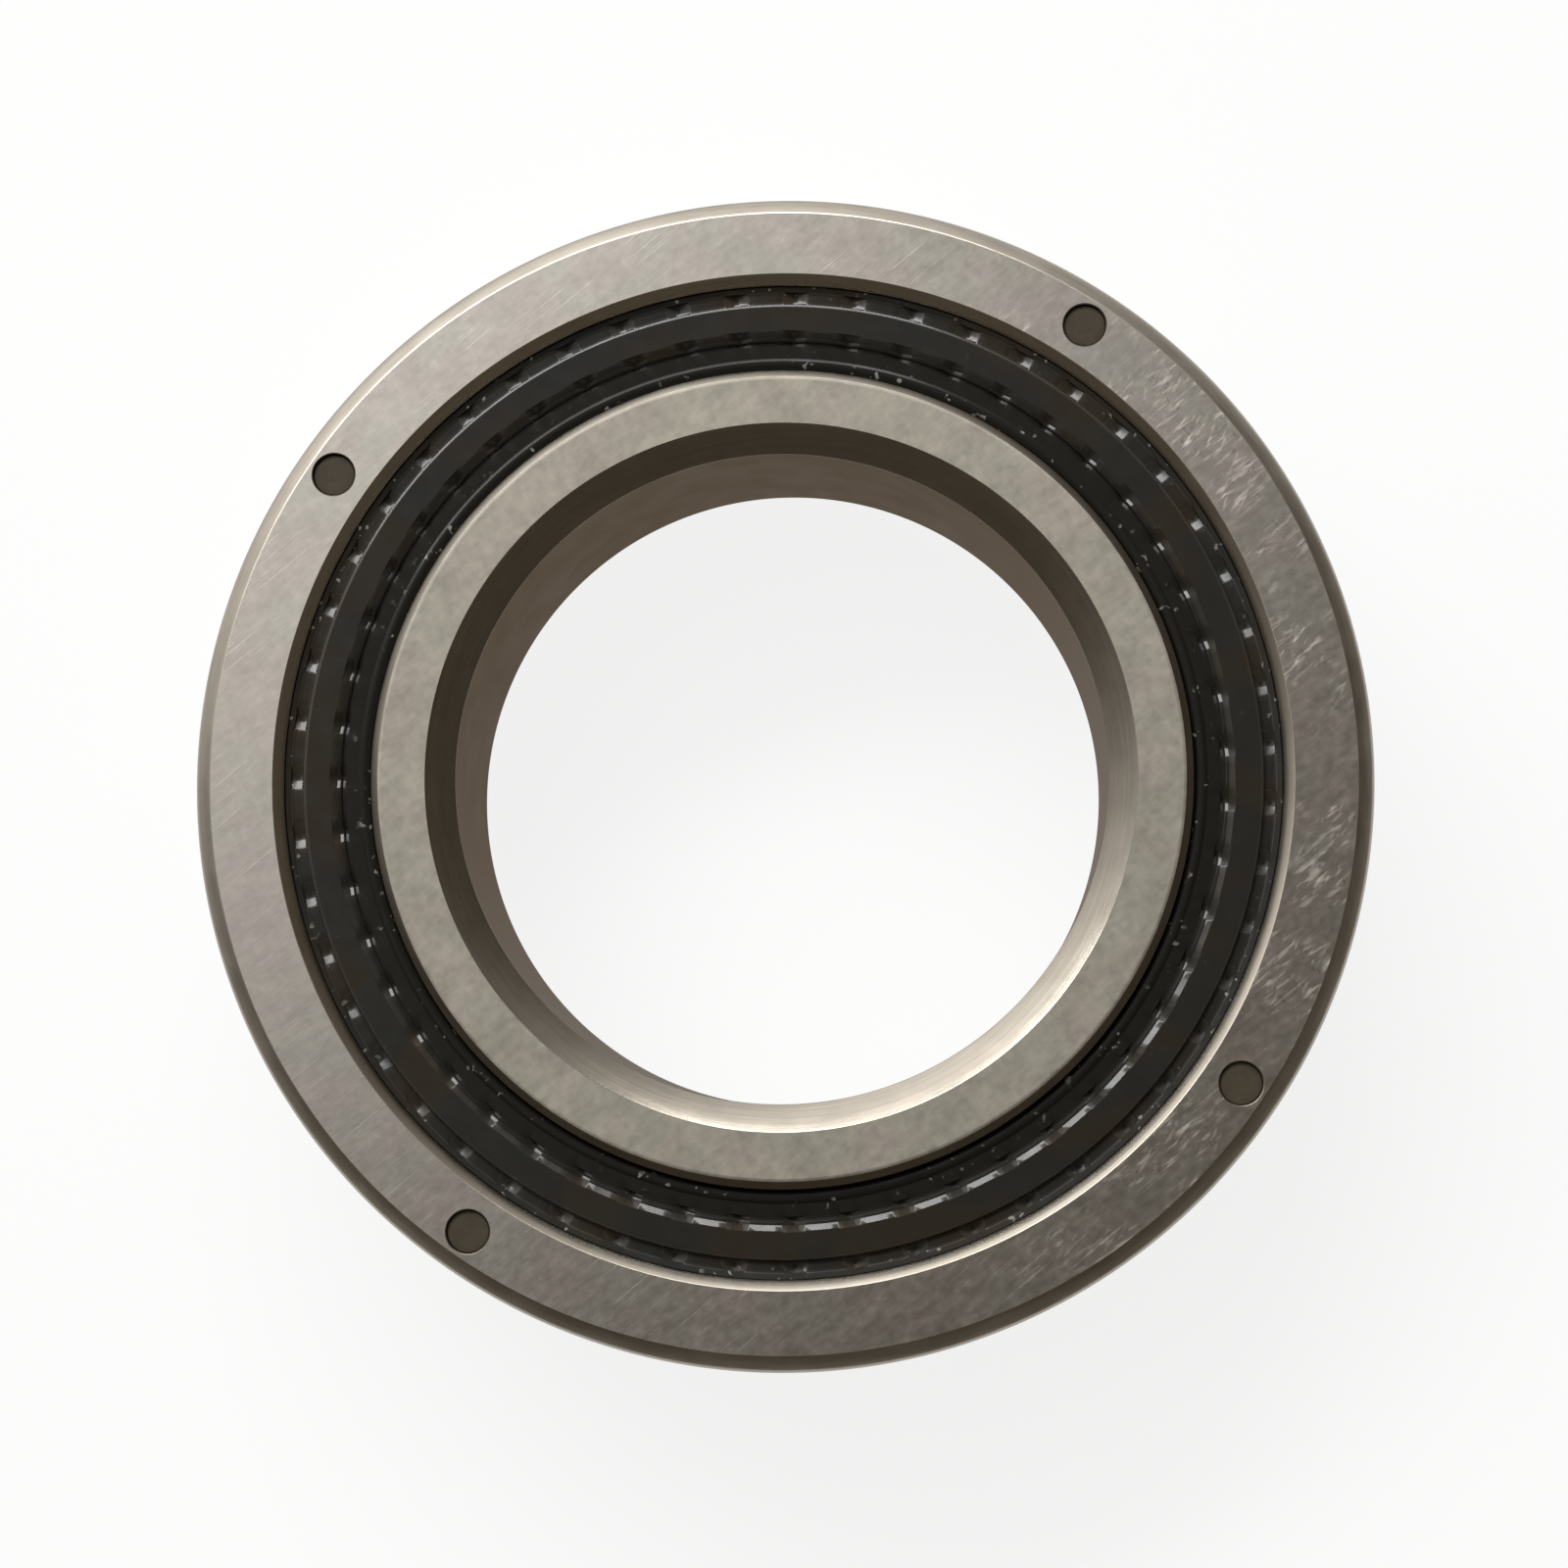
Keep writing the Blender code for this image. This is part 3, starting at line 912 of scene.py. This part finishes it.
class BEARING_OT_rollers(bpy.types.Operator):
    """Turn one roller and copy it round the row, leaning outwards and inwards in turn."""

    bl_idname = "bearing.rollers"
    bl_label = "Rollers"

    def execute(self, context):
        roller = add_rod("roller", ROLLER_R, ROLLER_LENGTH, ROUND_SIDES, -ROLLER_LENGTH / 2)
        edit(roller, "EDGE")
        choose_edges(roller, rim_edges)
        bpy.ops.mesh.bevel(offset=ROLLER_EDGE * MM, segments=3, affect="EDGES")
        bpy.ops.mesh.select_mode(type="FACE")
        choose_faces(roller, end_caps)
        bpy.ops.mesh.inset(thickness=ROLLER_CENTRE_INSET * MM)
        finish_edit()
        wear(roller, roller_finish(context.scene.bearing_colours.roller_steel))
        smooth(roller)
        for index in range(ROLLER_COUNT):
            name = f"roller_{index + 1:02d}"
            tilt = 45 if index % 2 == 0 else -45
            piece = copy_piece(roller, f"{name}_turned")
            put(piece, PITCH_R, index * 360 / ROLLER_COUNT, MID, tilt)
            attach(piece, name)
            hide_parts(name)
        remove_piece(roller)
        return {"FINISHED"}


def moulded_spacer(first_tilt):
    """A square block across the row, hollowed at each end by the roller next to it."""
    half_pitch = 180 / ROLLER_COUNT
    seat_r = ROLLER_R + SPACER_CLEARANCE
    seat_reach = seat_r * math.cos(math.radians(SPACER_REACH_DEG))
    half_length = PITCH_R * math.sin(math.radians(half_pitch)) - seat_reach
    start_fresh()
    bpy.ops.mesh.primitive_cube_add(size=MM)
    block = name_piece("spacer_block")
    block.scale = (SPACER_SIDE, 2 * half_length, SPACER_SIDE)
    apply_place(block)
    edit(block, "EDGE")
    choose_edges(block, lambda one: abs(one.verts[0].co.y - one.verts[1].co.y) > SAME_PLACE)
    bpy.ops.mesh.bevel(offset=SPACER_EDGE * MM, segments=3, affect="EDGES")
    finish_edit()
    put(block, PITCH_R, 0, MID, 45)
    seats = []
    for angle, tilt in ((-half_pitch, first_tilt), (half_pitch, -first_tilt)):
        seat = add_rod("spacer_seat", seat_r, 5.0, ROUND_SIDES, -2.5)
        seats.append(put(seat, PITCH_R, angle, MID, tilt))
    cutter = join_pieces(seats)
    use_modifier(block, "BOOLEAN", operation="DIFFERENCE", solver="EXACT", object=cutter)
    remove_piece(cutter)
    return block


class BEARING_OT_spacers(bpy.types.Operator):
    """Mould the spacers that part the rollers."""

    bl_idname = "bearing.spacers"
    bl_label = "Spacers"

    def execute(self, context):
        finish = resin_finish(context.scene.bearing_colours.spacer_resin)
        blocks = [moulded_spacer(45), moulded_spacer(-45)]
        for block in blocks:
            wear(block, finish)
            smooth(block)
        for index in range(ROLLER_COUNT):
            name = f"spacer_{index + 1:02d}"
            piece = copy_piece(blocks[index % 2], f"{name}_moulded")
            put(piece, 0, (index + 0.5) * 360 / ROLLER_COUNT, 0)
            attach(piece, "spacer_row")
            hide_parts(name)
        for block in blocks:
            remove_piece(block)
        return {"FINISHED"}


# Stage

CAMERA_PLACE = Vector((5.17, -11.0, 104.97)) * MM
CAMERA_TARGET = Vector((0.14, -0.32, 8.0)) * MM
CAMERA_UP = Vector((-0.0037, 1.0, 0.0))
CAMERA_LENS = 73.84
FLOOR_RADIUS = 4.0
FLOOR_GAP = 0.02
WINDOW_AZIMUTH = 119.0
WINDOW_ELEVATION = 18.0


def from_direction(azimuth_deg, elevation_deg):
    azimuth = math.radians(azimuth_deg)
    elevation = math.radians(elevation_deg)
    flat = math.cos(elevation)
    return Vector((flat * math.cos(azimuth), flat * math.sin(azimuth), math.sin(elevation)))


# Colour of the room by direction: 0 is away from the window, 1 is at its middle. The two ends come first.
WORLD_STOPS = (
    (0.0, (0.12, 0.1, 0.076)), (1.0, (2.2, 2.19, 2.17)), (0.55, (0.125, 0.106, 0.083)),
    (0.66, (0.185, 0.17, 0.15)), (0.77, (0.39, 0.375, 0.355)), (0.87, (0.88, 0.865, 0.84)),
    (0.94, (1.5, 1.49, 1.47)),
)
# Soft glow high on the window's side, as the cosines of its outer and inner edges
GLOW_EDGES = (0.857, 0.99)
GLOW_STRENGTH = 0.64


def add_camera():
    back = (CAMERA_PLACE - CAMERA_TARGET).normalized()
    right = CAMERA_UP.cross(back).normalized()
    turn = Matrix((right, back.cross(right), back)).transposed()
    bpy.ops.object.camera_add(location=CAMERA_PLACE, rotation=turn.to_euler())
    camera = bpy.context.active_object
    camera.data.lens = CAMERA_LENS
    camera.data.sensor_width = 36
    camera.data.clip_start = 0.001
    camera.data.clip_end = 50
    bpy.context.scene.camera = camera


def add_softbox(name, azimuth, elevation, distance, size, watts):
    """A rectangular lamp that faces the bearing."""
    away = from_direction(azimuth, elevation)
    turn = away.to_track_quat("Z", "Y")
    bpy.ops.object.light_add(type="AREA", location=away * distance, rotation=turn.to_euler())
    lamp = bpy.context.active_object
    lamp.name = name
    lamp.data.shape = "RECTANGLE"
    lamp.data.size, lamp.data.size_y = size
    lamp.data.energy = watts
    lamp.visible_camera = False


def light_world():
    """A dim warm room with one broad soft window, and a soft glow high above it."""
    world = bpy.context.scene.world or bpy.data.worlds.new("studio")
    bpy.context.scene.world = world
    world.use_nodes = True
    nodes = world.node_tree.nodes
    links = world.node_tree.links
    place = nodes.new("ShaderNodeTexCoord")
    towards = nodes.new("ShaderNodeVectorMath")
    towards.operation = "DOT_PRODUCT"
    towards.inputs[1].default_value = from_direction(WINDOW_AZIMUTH, WINDOW_ELEVATION)
    share = nodes.new("ShaderNodeMapRange")
    share.inputs["From Min"].default_value = -1.0
    ramp = nodes.new("ShaderNodeValToRGB")
    for element, (position, rgb) in zip(ramp.color_ramp.elements, WORLD_STOPS):
        element.position = position
        element.color = (*rgb, 1.0)
    for position, rgb in WORLD_STOPS[2:]:
        ramp.color_ramp.elements.new(position).color = (*rgb, 1.0)
    above = nodes.new("ShaderNodeVectorMath")
    above.operation = "DOT_PRODUCT"
    above.inputs[1].default_value = from_direction(135, 60)
    glow = nodes.new("ShaderNodeMapRange")
    glow.interpolation_type = "SMOOTHSTEP"
    glow.inputs["From Min"].default_value, glow.inputs["From Max"].default_value = GLOW_EDGES
    glow.inputs["To Max"].default_value = GLOW_STRENGTH
    total = nodes.new("ShaderNodeVectorMath")
    links.new(place.outputs["Generated"], towards.inputs[0])
    links.new(towards.outputs["Value"], share.inputs["Value"])
    links.new(share.outputs[0], ramp.inputs[0])
    links.new(place.outputs["Generated"], above.inputs[0])
    links.new(above.outputs["Value"], glow.inputs["Value"])
    links.new(ramp.outputs[0], total.inputs[0])
    links.new(glow.outputs[0], total.inputs[1])
    links.new(total.outputs[0], nodes["Background"].inputs["Color"])


def floor_finish():
    """A white floor that still shows the bearing's soft shadow."""
    material = bpy.data.materials.new("white_floor")
    material.use_nodes = True
    nodes = material.node_tree.nodes
    links = material.node_tree.links
    nodes.remove(nodes["Principled BSDF"])
    matt = nodes.new("ShaderNodeBsdfDiffuse")
    matt.inputs["Color"].default_value = (0.85, 0.85, 0.85, 1.0)
    white = nodes.new("ShaderNodeEmission")
    white.inputs["Strength"].default_value = 1.0
    path = nodes.new("ShaderNodeLightPath")
    seen = nodes.new("ShaderNodeMath")
    seen.operation = "MAXIMUM"
    through = nodes.new("ShaderNodeMath")
    through.operation = "MAXIMUM"
    share = nodes.new("ShaderNodeMath")
    share.operation = "MULTIPLY"
    share.inputs[1].default_value = 0.85
    mixed = nodes.new("ShaderNodeMixShader")
    links.new(path.outputs["Is Camera Ray"], seen.inputs[0])
    links.new(path.outputs["Is Glossy Ray"], seen.inputs[1])
    links.new(seen.outputs[0], through.inputs[0])
    links.new(path.outputs["Is Transmission Ray"], through.inputs[1])
    links.new(through.outputs[0], share.inputs[0])
    links.new(share.outputs[0], mixed.inputs[0])
    links.new(matt.outputs[0], mixed.inputs[1])
    links.new(white.outputs[0], mixed.inputs[2])
    links.new(mixed.outputs[0], nodes["Material Output"].inputs["Surface"])
    return material


class BEARING_OT_stage(bpy.types.Operator):
    """Add the floor, the light and the camera."""

    bl_idname = "bearing.stage"
    bl_label = "Stage"

    def execute(self, context):
        start_fresh()
        bpy.ops.mesh.primitive_circle_add(
            vertices=64, radius=FLOOR_RADIUS, fill_type="NGON", location=(0, 0, -FLOOR_GAP * MM)
        )
        floor = name_piece("floor")
        wear(floor, floor_finish())
        light_world()
        add_softbox("key_softbox", azimuth=111, elevation=40, distance=0.42, size=(0.44, 0.085), watts=1.6)
        add_camera()
        scene = context.scene
        scene.view_settings.view_transform = "Standard"
        return {"FINISHED"}


class BEARING_PT_panel(bpy.types.Panel):
    """Lists the steps that make the bearing, with their sizes and colours."""

    bl_idname = "BEARING_PT_panel"
    bl_label = "Crossed roller bearing"
    bl_space_type = "VIEW_3D"
    bl_region_type = "UI"
    bl_category = "Bearing"

    def draw(self, context):
        layout = self.layout
        for step in STEPS:
            layout.operator(step.bl_idname)
        for group in (context.scene.bearing_sizes, context.scene.bearing_colours):
            box = layout.box()
            for name in group.bl_rna.properties.keys():
                if name not in ("rna_type", "name"):
                    box.prop(group, name)


STEPS = (
    BEARING_OT_inner_ring,
    BEARING_OT_outer_halves,
    BEARING_OT_joining_pins,
    BEARING_OT_seals,
    BEARING_OT_rollers,
    BEARING_OT_spacers,
    BEARING_OT_stage,
)
CLASSES = (BearingSizes, BearingColours, *STEPS, BEARING_PT_panel)


def register():
    for one in CLASSES:
        bpy.utils.register_class(one)
    bpy.types.Scene.bearing_sizes = bpy.props.PointerProperty(type=BearingSizes)
    bpy.types.Scene.bearing_colours = bpy.props.PointerProperty(type=BearingColours)


def unregister():
    del bpy.types.Scene.bearing_colours
    del bpy.types.Scene.bearing_sizes
    for one in reversed(CLASSES):
        bpy.utils.unregister_class(one)


def main():
    register()
    bpy.ops.bearing.inner_ring()
    bpy.ops.bearing.outer_halves()
    bpy.ops.bearing.joining_pins()
    bpy.ops.bearing.seals()
    bpy.ops.bearing.rollers()
    bpy.ops.bearing.spacers()
    bpy.ops.bearing.stage()


if __name__ == "__main__":
    main()
